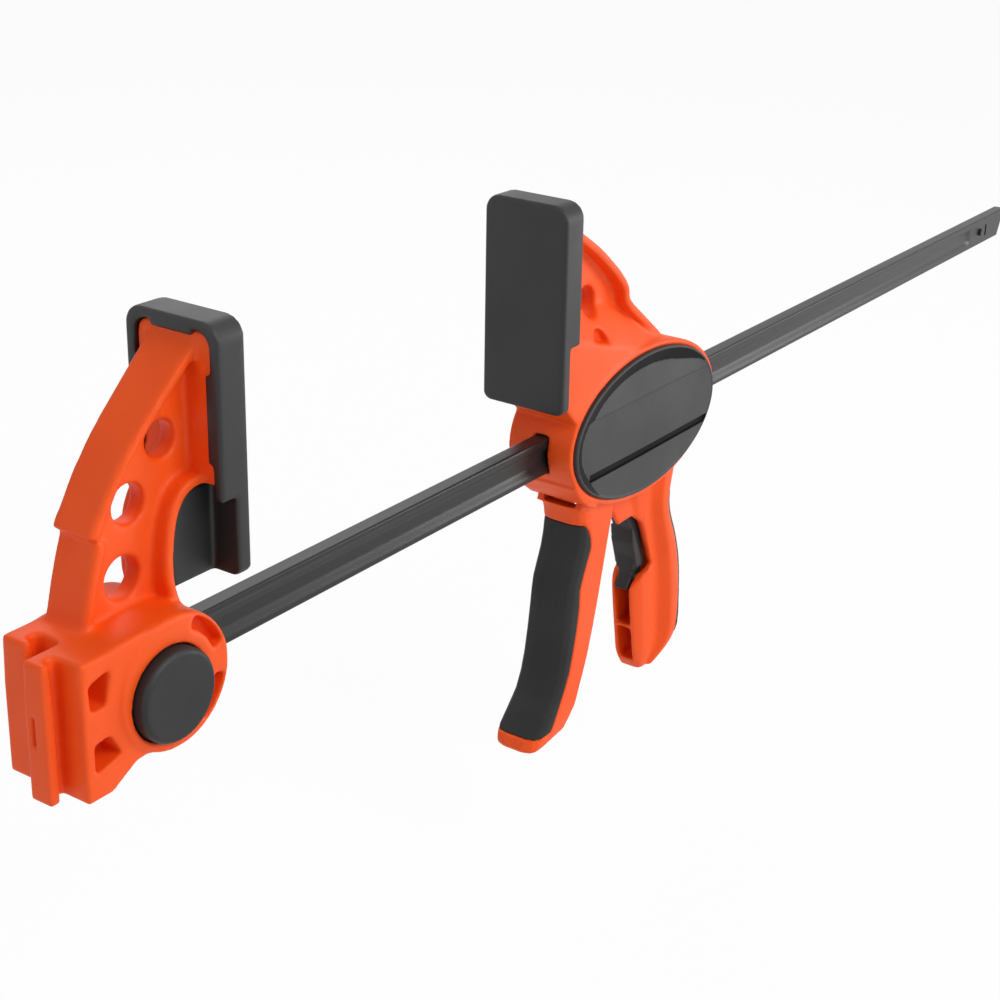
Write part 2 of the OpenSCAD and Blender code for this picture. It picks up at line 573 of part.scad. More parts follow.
// Places along the jaw of the trigger's pivot and of the edge that the brake lever tips on
pivot_share = 0.3636;
pivot_out = pivot_share * jaw_l;
brake_share = 0.699;
brake_out = brake_share * jaw_l;
rib_gap = 5.6;
rib_x = brake_out - rib_t - rib_gap;
ledge_h = 3;
rear_rib_x = house_mid + cavity_l * 0.33;
spring_slack = 0.1;
module on_oval() translate([house_mid, 0, house_rise]) children();
module housing_cavity() difference() {
    on_oval() slab(cavity_w) polygon(oval(cavity_l, cavity_h));
    // Rib for the drive spring, with the ledge that the brake lever tips on
    slab(neck_w) polygon([[rib_x, -house_h], [rib_x, house_h], [brake_out - brake_gap, house_h],
        [brake_out - brake_gap, brake_rise], [rib_x + rib_t, brake_rise - ledge_h], [rib_x + rib_t, -house_h]]);
    // Rib behind the brake spring
    translate([rear_rib_x, -cavity_w, -house_h]) cube([rib_t, 2 * cavity_w, 2 * house_h]);
}
brake_gap = 0.1;
module moving_jaw_body() color(orange) at_jaw() difference() {
    union() {
        mirror([1, 0, 0]) jaw_plate();
        jaw_arm();
        on_oval() slab(house_w) polygon(oval(house_l, house_h));
        slab(neck_w) polygon(sized(neck_shares, jaw_l, grip_drop));
        handle_solid();
    }
    housing_cavity();
    for (s = [-1, 1])
        on_oval() translate([0, s * (wall_y + cover_deep), 0]) slab(2 * cover_deep)
            polygon(oval(cover_l, cover_h));
    difference() {
        slab(cavity_w) polygon(sized(mouth_shares, jaw_l, grip_drop));
        slab(neck_w) polygon([[neck_front, -grip_drop], [neck_front, -house_h / 3.2],
            [jaw_l, -house_h / 3.2], [jaw_l, -grip_drop]]);
    }
    handle_cuts();
    translate([-over, -bar_t / 2 - bar_clear, -bar_h / 2 - bar_clear])
        cube([house_mid + house_l, bar_t + 2 * bar_clear, bar_h + 2 * bar_clear]);
    cross_pin([jaw_hole_at_shares[0] * jaw_l, jaw_hole_at_shares[1] * pad_top], hole_d, -flange_w, flange_w);
    for (s = [-1, 1])
        mirror([0, s < 0 ? 1 : 0, 0]) shoulder_arch();
    cross_pin([pivot_out, pivot_rise], pivot_d, -house_w, house_w);
    cross_pin(release_at, release_pin_d, -release_pin_l / 2 - seat, release_pin_l / 2 + seat);
    for (p = peg_at)
        cross_pin(p, peg_d + 2 * seat, -house_w, house_w);
}

// Covers: ovals let into the housing's sides, with a stepped face and a groove across
peg_d = 3;
peg_at = [[house_mid - cover_l * 0.36, house_rise - house_h * 0.12],
    [house_mid + cover_l * 0.42, house_rise + house_h * 0.1]];
cover_clear = 0.15;
cover_bevel = 1.6;
stripe_w = 2.2;
stripe_drop = house_h * 0.19;
module cover() difference() {
    union() {
        on_oval() side_slab(wall_y + seat, house_w / 2)
            polygon(oval(cover_l - 2 * cover_clear, cover_h - 2 * cover_clear));
        on_oval() side_slab(house_w / 2 - seat, house_w / 2 + cover_proud)
            polygon(oval(cover_l - 2 * cover_bevel, cover_h - 2 * cover_bevel));
        for (p = peg_at)
            cross_pin(p, peg_d, wall_y - cover_deep, wall_y + 2 * seat);
    }
    on_oval() side_slab(house_w / 2 + cover_proud / 3, house_w)
        translate([-house_l, -stripe_drop - stripe_w / 2]) square([2 * house_l, stripe_w]);
}
module near_cover() color(black) at_jaw() mirror([0, 1, 0]) cover();
module far_cover() color(black) at_jaw() cover();

// Soft strip let into the back of the handle
module handle_strip() color(black) at_jaw() slab(strip_w)
    polygon(concat(beside(handle_rear(), strip_t), back(beside(handle_rear(), -strip_t / 3))));

// Trigger stations: front and rear edge as shares
trigger_shares = [[0.239, -0.203, 0.478, -0.245, 0.97], [0.266, -0.277, 0.455, -0.304, 1],
    [0.246, -0.375, 0.432, -0.388, 1], [0.2, -0.467, 0.406, -0.482, 1], [0.186, -0.561, 0.376, -0.589, 1],
    [0.159, -0.723, 0.326, -0.741, 1], [0.109, -0.844, 0.277, -0.844, 1], [-0.01, -0.948, 0.246, -0.906, 0.99],
    [-0.012, -0.99, 0.19, -0.968, 0.9]];
trigger_ring_shares = [[0, 0.45], [0.05, 0.8], [0.16, 0.96], [0.3, 1], [1, 1]];
function trigger_half(w) = [for (q = trigger_ring_shares) [q[0], q[1] * w]];
function moved(s, d) = let (dx = d / jaw_l) [s[0] + dx, s[1], s[2], s[3], s[4]];
module trigger_solid(inset) loft([for (s = curve(trigger_shares, 2))
    station(moved(s, inset), trigger_half(s[4] * (trigger_w / 2 - inset)))]);
trigger_front_t = 4.6;
// The hollow is open at the top and lies a little higher than the stations all the way down
hollow_top_share = 0.12;
hollow_rise_share = 0.012;
hollow_in_share = 0.2;
hollow_out_share = 1.4;
module trigger_hollow() loft([for (i = [0:len(trigger_shares) - 2])
    let (s = trigger_shares[i], up = i == 0 ? hollow_top_share : hollow_rise_share)
    station([s[0], s[1] + up, s[2], s[3] + up, 1],
        [[trigger_front_t / (hollow_in_share * jaw_l), trigger_inside / 2], [hollow_out_share, trigger_inside / 2]])]);
grip_line_shares = [[0.31, -0.3], [0.324, -0.354], [0.302, -0.4], [0.26, -0.485], [0.257, -0.55],
    [0.24, -0.645], [0.199, -0.777], [0.142, -0.871], [0.094, -0.942]];
module grip_zone() slab(handle_w) polygon(concat([[-0.15 * jaw_l, -0.944 * grip_drop],
    [-0.15 * jaw_l, -0.275 * grip_drop], [0.29 * jaw_l, -0.275 * grip_drop]],
    curve(sized(grip_line_shares, jaw_l, grip_drop), 2)));
cheek_shares = [[0.243, -0.21], [0.252, -0.192], [0.27, -0.1], [0.305, 0.12], [0.42, 0.12], [0.392, 0],
    [0.43, -0.1], [0.475, -0.24]];
pivot_eye_d = 11;
push_lug_d = 5.2;
push_lug_at = [pivot_out + 1, 0];
lug_gap = 0.4;
module trigger() color(orange) at_jaw() difference() {
    union() {
        difference() {
            trigger_solid(0);
            grip_zone();
        }
        trigger_solid(soft_t);
        for (s = [-1, 1]) mirror([0, s < 0 ? 1 : 0, 0]) {
            side_slab(trigger_inside / 2, trigger_w / 2) polygon(sized(cheek_shares, jaw_l, grip_drop));
            cross_pin([pivot_out, pivot_rise], pivot_eye_d, trigger_inside / 2, trigger_w / 2);
            cross_pin(push_lug_at, push_lug_d, bar_t / 2 + lug_gap, trigger_inside / 2 + over);
        }
    }
    trigger_hollow();
    cross_pin([pivot_out, pivot_rise], pivot_d + 2 * pivot_clear, -house_w, house_w);
}
module trigger_grip() color(black) at_jaw() difference() {
    intersection() {
        trigger_solid(0);
        grip_zone();
    }
    trigger_solid(soft_t - seat);
}
module trigger_pin() color(steel) at_jaw() cross_pin([pivot_out, pivot_rise], pivot_d, -wall_y, wall_y);

// Drive lever: the lugs push it back, it tips and carries the bar with it
drive_x = push_lug_at[0] + push_lug_d / 2 + lug_gap / 2;
lever_clear = 0.35;
module lever_plate(t, w, top, low) difference() {
    translate([0, -w / 2, low]) cube([t, w, top - low]);
    translate([-over, -bar_t / 2 - lever_clear, -bar_h / 2 - lever_clear])
        cube([t + 2 * over, bar_t + 2 * lever_clear, bar_h + 2 * lever_clear]);
}
module drive_lever() color(steel) at_jaw() translate([drive_x, 0, 0]) rotate([0, drive_lean, 0])
    lever_plate(drive_t, drive_w, drive_h / 2, -drive_h / 2);
module bar_spring(from_x, to_x) translate([from_x, 0, 0]) rotate([0, 90, 0]) difference() {
    cylinder(d = spring_d, h = to_x - from_x);
    translate([0, 0, -over]) cylinder(d = spring_d - 2 * spring_wire, h = to_x - from_x + 2 * over);
}
drive_spring_x = drive_x + drive_t + spring_d / 2 * tan(drive_lean) + spring_slack;
module drive_spring() color(steel) at_jaw() bar_spring(drive_spring_x, rib_x - seat);

// Brake lever: tips on the housing's ledge and jams on the bar until the release lever pushes it upright
brake_top = 3.4;
brake_room = 1.5;
brake_low = cavity_h / 2 - house_rise - brake_room;
tongue_share = 0.304;
tongue_low = tongue_share * grip_drop;
tongue_w = 6.4;
module brake_lever() color(steel) at_jaw() translate([brake_out, 0, brake_rise]) rotate([0, brake_lean, 0])
    translate([0, 0, -brake_rise]) {
        lever_plate(brake_t, brake_w, brake_rise + brake_top, -brake_low);
        translate([0, -tongue_w / 2, -tongue_low]) cube([brake_t, tongue_w, tongue_low - brake_low + seat]);
    }
brake_spring_x = brake_out + brake_t - (brake_rise - spring_d / 2) * tan(brake_lean) + spring_slack;
module brake_spring() color(steel) at_jaw() bar_spring(brake_spring_x, rear_rib_x - seat);

// Release lever: its foot turns on a pin in the handle, its head lies before the brake lever's tongue
release_at = [0.762 * jaw_l, -0.628 * grip_drop];
release_shares = [[0.605, -0.262], [0.638, -0.262], [0.636, -0.32], [0.7, -0.345], [0.765, -0.46],
    [0.805, -0.585], [0.8, -0.66], [0.76, -0.682], [0.695, -0.655], [0.722, -0.61], [0.715, -0.535], [0.694, -0.48],
    [0.685, -0.42], [0.66, -0.38], [0.625, -0.34]];
// The broad face, thin enough to stay clear of the handle when the lever is pressed
release_face_shares = [[0.685, -0.42], [0.698, -0.42], [0.73, -0.48], [0.755, -0.535], [0.765, -0.578],
    [0.73, -0.578], [0.715, -0.535], [0.694, -0.48]];
release_foot_w = channel_w - 2 * lever_clear;
release_foot_cut = 0.59;
module release_lever() color(black) at_jaw() difference() {
    union() {
        slab(release_w) polygon(sized(release_shares, jaw_l, grip_drop));
        slab(release_face_w) polygon(sized(release_face_shares, jaw_l, grip_drop));
    }
    for (s = [-1, 1])
        translate([0, s * (release_foot_w + release_w) / 2, 0]) slab(release_w)
            polygon([[0, -grip_drop], [0, -release_foot_cut * grip_drop],
                [jaw_l, -release_foot_cut * grip_drop], [jaw_l, -grip_drop]]);
    cross_pin(release_at, release_pin_d + 2 * pivot_clear, -handle_w, handle_w);
}
release_pin_l = handle_w * 0.4;
module release_lever_pin() color(steel) at_jaw()
    cross_pin(release_at, release_pin_d, -release_pin_l / 2, release_pin_l / 2);

bar();
bar_stop_pin();
fixed_jaw_body();
fixed_jaw_pad();
release_button();
lock_pin();
lock_pin_clip();
button_spring();
moving_jaw_body();
moving_jaw_pad();
near_cover();
far_cover();
handle_strip();
trigger();
trigger_grip();
trigger_pin();
drive_lever();
drive_spring();
brake_lever();
brake_spring();
release_lever();
release_lever_pin();
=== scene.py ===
# %% [markdown]
# # A quick release bar clamp
# This file dresses a bar clamp whose working pieces already exist as exact solids. Blender's
# part is the look: softly rounded mouldings, a rolled bar, coiled springs and their finishes.
# All lengths are in metres, and +X runs along the bar from the fixed jaw to the moving jaw.

# %% Load the working model
import json
import math

import bmesh
import bpy
import numpy as np
from mathutils import Matrix, Vector


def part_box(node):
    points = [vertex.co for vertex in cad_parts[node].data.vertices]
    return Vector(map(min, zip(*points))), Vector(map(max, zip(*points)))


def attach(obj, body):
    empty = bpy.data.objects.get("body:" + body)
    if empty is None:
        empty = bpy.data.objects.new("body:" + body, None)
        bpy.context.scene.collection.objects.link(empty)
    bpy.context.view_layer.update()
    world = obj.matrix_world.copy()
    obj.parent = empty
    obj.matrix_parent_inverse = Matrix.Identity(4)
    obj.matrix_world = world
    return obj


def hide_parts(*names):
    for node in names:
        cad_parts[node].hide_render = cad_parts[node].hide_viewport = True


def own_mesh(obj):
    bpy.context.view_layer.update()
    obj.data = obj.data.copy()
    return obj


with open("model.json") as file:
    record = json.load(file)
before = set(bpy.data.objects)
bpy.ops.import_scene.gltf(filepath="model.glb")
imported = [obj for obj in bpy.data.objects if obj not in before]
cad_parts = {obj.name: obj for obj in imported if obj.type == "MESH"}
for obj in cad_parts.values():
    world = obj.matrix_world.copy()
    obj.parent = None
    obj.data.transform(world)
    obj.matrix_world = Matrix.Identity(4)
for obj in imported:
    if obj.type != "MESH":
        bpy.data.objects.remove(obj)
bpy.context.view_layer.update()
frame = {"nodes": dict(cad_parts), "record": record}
nodes = frame["nodes"]
scene = bpy.context.scene
mm = 0.001

# %% [markdown]
# ## The camera
# The camera comes first, because every later choice is judged through it. Its place and angle
# were found from the photograph's straight edges: the picture is a wide crop, so the lens is
# shifted and not turned.

# %% Camera
camera_at = Vector((-331.9, -334.0, 180.2)) * mm
camera_yaw = math.radians(32.22)
camera_pitch = math.radians(19.65)
camera_roll = math.radians(2.09)
focal_px = 1844.7
optical_centre_px = (599.8, 390.3)
picture_px = 1000
sensor_w = 36
nearest_seen = 20 * mm


def aim(yaw, pitch, roll):
    """Turn of a camera that looks along yaw and down by pitch, rolled about its own axis."""
    forward = Vector((math.cos(pitch) * math.cos(yaw), math.cos(pitch) * math.sin(yaw), -math.sin(pitch)))
    level = forward.cross(Vector((0, 0, 1))).normalized()
    upright = level.cross(forward)
    right = math.cos(roll) * level + math.sin(roll) * upright
    up = math.cos(roll) * upright - math.sin(roll) * level
    return Matrix((right, up, -forward)).transposed()


lens = bpy.data.cameras.new("camera")
lens.sensor_width = sensor_w
lens.lens = focal_px / picture_px * sensor_w
lens.shift_x = 0.5 - optical_centre_px[0] / picture_px
lens.shift_y = optical_centre_px[1] / picture_px - 0.5
lens.clip_start = nearest_seen
camera = bpy.data.objects.new("camera", lens)
scene.collection.objects.link(camera)
camera.matrix_world = Matrix.Translation(camera_at) @ aim(camera_yaw, camera_pitch, camera_roll).to_4x4()
scene.camera = camera
print("lens:", round(lens.lens, 1), "mm")

# %% [markdown]
# ## Light and floor
# Big soft lamps stand in for a photo studio. The floor and the world show plain white to the
# camera, in mirrors and through glass, while the lamps stay at a level where a colour renders
# about as it is written. Such a mix takes a few nodes, so some helpers come first: a node is
# made from its inputs, and an input may be a number or another node's result.

# %% Helpers for node trees
def plug(tree, socket, value):
    """Give an input a value, or link another node's result to it."""
    if isinstance(value, bpy.types.NodeSocket):
        tree.links.new(value, socket)
    else:
        socket.default_value = value


def node_of(tree, kind, settings=None, **values):
    """A node with its settings and its inputs, whose names are written with _ for a space."""
    made = tree.nodes.new(kind)
    for key, value in (settings or {}).items():
        setattr(made, key, value)
    for key, value in values.items():
        plug(tree, made.inputs[key.replace("_", " ")], value)
    return made


def math_of(tree, operation, *values, kind="ShaderNodeMath"):
    """A Math node's result, or a Vector Math node's, from other results or numbers."""
    made = node_of(tree, kind, {"operation": operation})
    for socket, value in zip(made.inputs, values):
        plug(tree, socket, value)
    return made.outputs[0]


# %% A white world with a faint cool fill
plain_white = (1, 1, 1, 1)
cool_white = (0.93, 0.96, 1, 1)
fill_strength = 0.25


def light_path_mix(tree, seen, lit, seen_share):
    """Mix two shaders: camera, glossy and transmission rays get seen_share of the first one."""
    path = tree.nodes.new("ShaderNodeLightPath").outputs
    mirrored = math_of(tree, "MAXIMUM", path["Is Glossy Ray"], path["Is Transmission Ray"])
    either = math_of(tree, "MAXIMUM", path["Is Camera Ray"], mirrored)
    mix = tree.nodes.new("ShaderNodeMixShader")
    for socket, value in zip(mix.inputs, (math_of(tree, "MULTIPLY", either, seen_share), lit, seen)):
        plug(tree, socket, value)
    return mix.outputs[0]


scene.view_settings.view_transform = "Standard"
world = bpy.data.worlds.new("studio")
scene.world = world
world.use_nodes = True
sky = world.node_tree
sky.nodes.clear()
sky_seen = node_of(sky, "ShaderNodeBackground", Color=plain_white).outputs[0]
sky_fill = node_of(sky, "ShaderNodeBackground", Color=cool_white, Strength=fill_strength).outputs[0]
node_of(sky, "ShaderNodeOutputWorld", Surface=light_path_mix(sky, sky_seen, sky_fill, seen_share=1))
print("world:", len(sky.nodes), "nodes")

# %% Lamps
lit_point = Vector((0.18, 0, -0.05))


def lamp(name, at, size, watts):
    """A soft square lamp that points at the clamp's middle."""
    data = bpy.data.lights.new(name, "AREA")
    data.shape = "SQUARE"
    data.size = size
    data.energy = watts
    obj = bpy.data.objects.new(name, data)
    scene.collection.objects.link(obj)
    obj.location = at
    obj.rotation_euler = (lit_point - Vector(at)).to_track_quat("-Z", "Y").to_euler()
    print(name, watts, "W")


lamp("key_lamp", (0.1, -1.15, 0.85), size=0.9, watts=14)
lamp("side_lamp", (-1.2, 0.2, 0.5), size=0.8, watts=3.5)
lamp("rim_lamp", (0.7, 0.8, 1.0), size=0.9, watts=6)
# The bar's bright streak is this lamp's reflection, so it stands low beyond the bar's far end.
lamp("bar_lamp", (1.05, -0.72, 0.0), size=0.4, watts=4)

# %% The floor
floor_z = -0.215
floor_reach = 9
off_white = (0.95, 0.95, 0.95, 1)
white_share = 0.95

floor_mesh = bpy.data.meshes.new("floor")
sides = ((-1, -1), (1, -1), (1, 1), (-1, 1))
floor_mesh.from_pydata([(x * floor_reach, y * floor_reach, floor_z) for x, y in sides], [], [(0, 1, 2, 3)])
floor = bpy.data.objects.new("floor", floor_mesh)
scene.collection.objects.link(floor)
paper = bpy.data.materials.new("paper")
paper.use_nodes = True
sheet = paper.node_tree
sheet.nodes.clear()
paper_lit = node_of(sheet, "ShaderNodeBsdfDiffuse", Color=off_white).outputs[0]
paper_seen = node_of(sheet, "ShaderNodeEmission", Color=plain_white).outputs[0]
node_of(sheet, "ShaderNodeOutputMaterial", Surface=light_path_mix(sheet, paper_seen, paper_lit, white_share))
floor_mesh.materials.append(paper)
print("floor at a height of", floor_z)

# %% [markdown]
# ## Finishes
# Most of the clamp is moulded plastic. A mould is spark-eroded, so its plastic carries a fine
# even grain, and thick and thin places cool unevenly, which shows as a slow change of gloss.
# Both effects go into one node group that every finish uses with its own sizes.

# %% Helpers for groups
def new_group(name, kind, takes, gives):
    """An empty node group with these named sockets, and what it is given and what it makes."""
    tree = bpy.data.node_groups.new(name, kind)
    for side, sockets in (("INPUT", takes), ("OUTPUT", gives)):
        for socket, sort in sockets.items():
            tree.interface.new_socket(name=socket, in_out=side, socket_type="NodeSocket" + sort)
    return tree, tree.nodes.new("NodeGroupInput").outputs, tree.nodes.new("NodeGroupOutput").inputs


def ramp(tree, value, low, high, to_low=0.0, to_high=1.0, smooth=False):
    """A value's way from low to high, turned into the way from to_low to to_high."""
    way = {"interpolation_type": "SMOOTHSTEP" if smooth else "LINEAR"}
    return node_of(tree, "ShaderNodeMapRange", way, Value=value, From_Min=low, From_Max=high,
                   To_Min=to_low, To_Max=to_high).outputs[0]


# %% The moulded skin group
slow_per_metre = 55
slow_range = (0.3, 0.7)
speckle_share = 0.12
mix_first, mix_second, mix_result = 6, 7, 2  # the Mix node's places for two colours and the result


def make_skin_group():
    """Grain, slow gloss change and slight colour change over a surface, from its own coordinates."""
    tree, given, made = new_group("moulded_skin", "ShaderNodeTree", {
        "Base": "Color", "Shade": "Color", "Gloss Low": "Float", "Gloss High": "Float",
        "Grain Per Metre": "Float", "Stretch": "Vector"},
        {"Color": "Color", "Roughness": "Float", "Height": "Float"})
    place = tree.nodes.new("ShaderNodeTexCoord").outputs["Object"]
    stretched = math_of(tree, "MULTIPLY", place, given["Stretch"], kind="ShaderNodeVectorMath")
    grain = node_of(tree, "ShaderNodeTexNoise", Vector=stretched, Scale=given["Grain Per Metre"],
                    Detail=3, Roughness=0.55).outputs["Fac"]
    slow = node_of(tree, "ShaderNodeTexNoise", Vector=stretched, Scale=slow_per_metre,
                   Detail=2).outputs["Fac"]
    gloss = ramp(tree, slow, *slow_range, given["Gloss Low"], given["Gloss High"])
    tint = node_of(tree, "ShaderNodeMix", {"data_type": "RGBA"}, Factor=slow)
    plug(tree, tint.inputs[mix_first], given["Base"])
    plug(tree, tint.inputs[mix_second], given["Shade"])
    plug(tree, made["Color"], tint.outputs[mix_result])
    plug(tree, made["Roughness"], math_of(tree, "MULTIPLY_ADD", grain, speckle_share, gloss))
    plug(tree, made["Height"], grain)
    return tree


skin = make_skin_group()
print("group:", skin.name, "with", len(skin.nodes), "nodes")

# %% A material from the skin
grain_depth = 0.05 * mm
finishes = {}


def rgb(red, green, blue):
    """A colour as a screen shows it, from 0 to 255, made linear for a shader."""
    def linear(v):
        v = v / 255
        return v / 12.92 if v <= 0.04045 else ((v + 0.055) / 1.055) ** 2.4
    return (linear(red), linear(green), linear(blue), 1)


def finish(name, base, shade, gloss, grain, bump, metal=0.0, specular=0.5, stretch=(1, 1, 1), mirror=1.0):
    """A material under its name in finishes: the moulded skin with its own colours, gloss and grain."""
    made = bpy.data.materials.new(name + "_finish")
    made.use_nodes = True
    tree = made.node_tree
    coat = node_of(tree, "ShaderNodeGroup", {"node_tree": skin}, Base=base, Shade=shade, Gloss_Low=gloss[0],
                   Gloss_High=gloss[1], Grain_Per_Metre=grain, Stretch=stretch).outputs
    dent = node_of(tree, "ShaderNodeBump", Strength=bump, Distance=grain_depth, Height=coat["Height"])
    surface = tree.nodes["Principled BSDF"].inputs
    plug(tree, surface["Base Color"], coat["Color"])
    plug(tree, surface["Roughness"], coat["Roughness"])
    plug(tree, surface["Normal"], dent.outputs["Normal"])
    plug(tree, surface["Metallic"], metal)
    plug(tree, surface["Specular IOR Level"], specular)
    plug(tree, surface["Specular Tint"], (mirror, mirror, mirror, 1))
    finishes[name] = made


# %% One material for each finish
finish("orange_nylon", rgb(244, 86, 14), rgb(236, 78, 12), gloss=(0.4, 0.5), grain=1500, bump=0.25,
       specular=0.3)
finish("pad_rubber", rgb(19, 19, 20), rgb(15, 15, 16), gloss=(0.4, 0.5), grain=1800, bump=0.3)
finish("grip_rubber", rgb(40, 40, 40), rgb(34, 34, 34), gloss=(0.62, 0.72), grain=1100, bump=0.6,
       specular=0.3)
finish("black_plastic", rgb(29, 29, 30), rgb(24, 24, 25), gloss=(0.46, 0.56), grain=1300, bump=0.45,
       specular=0.4)
finish("cover_grain", rgb(50, 50, 51), rgb(45, 45, 46), gloss=(0.5, 0.6), grain=1100, bump=0.6,
       specular=0.4)
# The cover's upper wall and groove: near-black as painted shade, where the wall faces down and the groove
# lies deep.
finish("cover_painted_shade", rgb(8, 8, 8), rgb(6, 6, 6), gloss=(0.45, 0.55), grain=1500, bump=0.15,
       specular=0.1)
finish("bar_oxide", rgb(38, 37, 37), rgb(28, 28, 28), gloss=(0.28, 0.38), grain=900, bump=0.2,
       stretch=(0.05, 1, 1), mirror=0.45)
finish("plain_steel", rgb(170, 171, 174), rgb(150, 151, 154), gloss=(0.25, 0.36), grain=1200, bump=0.2,
       metal=1.0)
print("finishes:", *finishes)

# %% [markdown]
# ## The inner steel pieces
# Pins, clip and levers are plain stamped or turned steel. Their solids are already right, so
# they keep their shape and only get a finish.

# %% Finish on every carried-over solid
slot_of = {entry["node"]: entry["material_slot"] for entry in frame["record"]["subparts"]}
for node, obj in nodes.items():
    obj.data.materials.clear()
    obj.data.materials.append(finishes[slot_of[node]])
print("solids with a finish:", len(nodes))

# %% [markdown]
# ## Moulded pieces
# A moulding has no sharp edge: each corner has a radius and each wall meets the next in a
# fillet. Bevels struggle where a web meets a curved flange, so the solid is rebuilt from small
# cubes instead, and some rounds of smoothing turn every corner into a radius: more rounds where
# the real moulding is rounder.

# %% From a solid to a draft, and from a mesh to a shown piece
weld_distance = 0.002 * mm
body_of = {node: body for body, members in frame["record"]["behaviour"]["bodies"].items() for node in members}


def welded_copy(node):
    """The solid's mesh with its loose triangles joined, as a draft object."""
    shape = bmesh.new()
    shape.from_mesh(nodes[node].data)
    bmesh.ops.remove_doubles(shape, verts=shape.verts, dist=weld_distance)
    mesh = bpy.data.meshes.new(node + "_draft")
    shape.to_mesh(mesh)
    shape.free()
    draft = bpy.data.objects.new(node + "_draft", mesh)
    scene.collection.objects.link(draft)
    return draft


def evaluated_mesh(obj, name):
    """What the object's modifiers make of it, as a mesh of its own."""
    seen = obj.evaluated_get(bpy.context.evaluated_depsgraph_get())
    mesh = bpy.data.meshes.new_from_object(seen)
    mesh.name = name
    return mesh


def shown(mesh, name, node, coats=None):
    """A finished mesh as the piece that is shown in the node's place."""
    which = [face.material_index for face in mesh.polygons]
    mesh.materials.clear()
    for coat in coats or [finishes[slot_of[node]]]:
        mesh.materials.append(coat)
    mesh.polygons.foreach_set("material_index", which)
    piece = bpy.data.objects.new(name, mesh)
    scene.collection.objects.link(piece)
    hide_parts(node)
    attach(piece, body_of[node])
    print(name, "has", len(mesh.polygons), "faces")
    return piece


# %% Rebuild a solid as a moulding
def soften(mesh, rounds):
    """Move every point half-way to its neighbours' mean, as many rounds as are given for that point."""
    count = len(mesh.vertices)
    points = np.empty(count * 3)
    mesh.vertices.foreach_get("co", points)
    points = points.reshape(-1, 3)
    ends = np.empty(len(mesh.edges) * 2, dtype=np.int32)
    mesh.edges.foreach_get("vertices", ends)
    one, other = ends[::2], ends[1::2]
    neighbours = np.bincount(one, minlength=count) + np.bincount(other, minlength=count)
    rounds = rounds(points) if callable(rounds) else np.full(count, float(rounds))
    for done in range(math.ceil(rounds.max())):
        total = [np.bincount(one, points[other, k], count) + np.bincount(other, points[one, k], count)
                 for k in range(3)]
        mean = np.stack(total, axis=1) / neighbours[:, None]
        points += (mean - points) * 0.5 * np.clip(rounds - done, 0, 1)[:, None]
    mesh.vertices.foreach_set("co", points.ravel())
    mesh.update()


def moulded(node, cube, rounds, triangles):
    """The solid rebuilt from cubes, softened, and thinned to about this many triangles."""
    draft = welded_copy(node)
    rebuild = draft.modifiers.new("cubes", "REMESH")
    rebuild.mode = "VOXEL"
    rebuild.voxel_size = cube * 1
    rough = evaluated_mesh(draft, node + "_rough")
    soften(rough, rounds)
    draft.modifiers.clear()
    draft.data = rough
    thin = draft.modifiers.new("thin", "DECIMATE")
    thin.ratio = min(1, triangles / (2 * len(rough.polygons)))
    mesh = evaluated_mesh(draft, node + "_moulded")
    bpy.data.objects.remove(draft)
    mesh.shade_smooth()
    return shown(mesh, node + "_moulded", node)


# %% Where the fixed jaw is rounder
# Its arm has big radii and its block small ones. The button's bore has hardly any, so that the
# button can still travel in it.
arm_begins = (-52 * mm, -40 * mm)
plate_begins = (-12 * mm, -8 * mm)
bore_room = 0.6 * mm
bore_rounds = 3
block_rounds = 9
arm_rounds = 24


def box_of(node):
    """A solid's lowest and highest corners."""
    low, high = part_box(node)
    return Vector(low), Vector(high)


def share_above(points, axis, limits):
    """0 below the lower limit, 1 above the upper one and a straight way between, along one axis."""
    low, high = limits
    return np.clip((points[:, axis] - low) / (high - low), 0, 1)


button_low, button_high = box_of("release_button")
button_axis = (button_low + button_high) / 2
bore_r = (button_high.x - button_low.x) / 2 + bore_room


def fixed_rounds(points):
    """Rounds of smoothing for each point of the fixed jaw."""
    arm = share_above(points, 2, arm_begins) * (1 - share_above(points, 0, plate_begins))
    from_axis = np.hypot(points[:, 0] - button_axis.x, points[:, 2] - button_axis.z)
    return np.where(from_axis < bore_r, bore_rounds, block_rounds + arm_rounds * arm)


moulded("fixed_jaw_body", cube=0.45 * mm, rounds=fixed_rounds, triangles=170000)

# %% Where the moving jaw is rounder
# Its arm begins above the oval housing and beside the plate, and its handle hangs below.
shoulder = (-34 * mm, -24 * mm)
plate_ends = (157 * mm, 161 * mm)
neck = (-100 * mm, -84 * mm)
housing_rounds = 11
arm_extra = 13
handle_extra = 5


def moving_rounds(points):
    """Rounds of smoothing for each point of the moving jaw."""
    arm = share_above(points, 2, shoulder) * share_above(points, 0, plate_ends)
    handle = 1 - share_above(points, 2, neck)
    return housing_rounds + arm_extra * arm + handle_extra * handle


moulded("moving_jaw_body", cube=0.45 * mm, rounds=moving_rounds, triangles=190000)

# %% The pads, the button and the soft strip
moulded("fixed_jaw_pad", cube=0.45 * mm, rounds=8, triangles=60000)
moulded("moving_jaw_pad", cube=0.45 * mm, rounds=8, triangles=60000)
button = moulded("release_button", cube=0.35 * mm, rounds=8, triangles=40000)
strip = moulded("handle_strip", cube=0.35 * mm, rounds=3, triangles=20000)

# %% Room round the button
# Smoothing narrows a bore a little, so the button is made slimmer to match.
slimmer = 0.984
for vert in button.data.vertices:
    vert.co.x = button_axis.x + (vert.co.x - button_axis.x) * slimmer
    vert.co.z = button_axis.z + (vert.co.z - button_axis.z) * slimmer
print("button slimmed to", slimmer, "of its width")

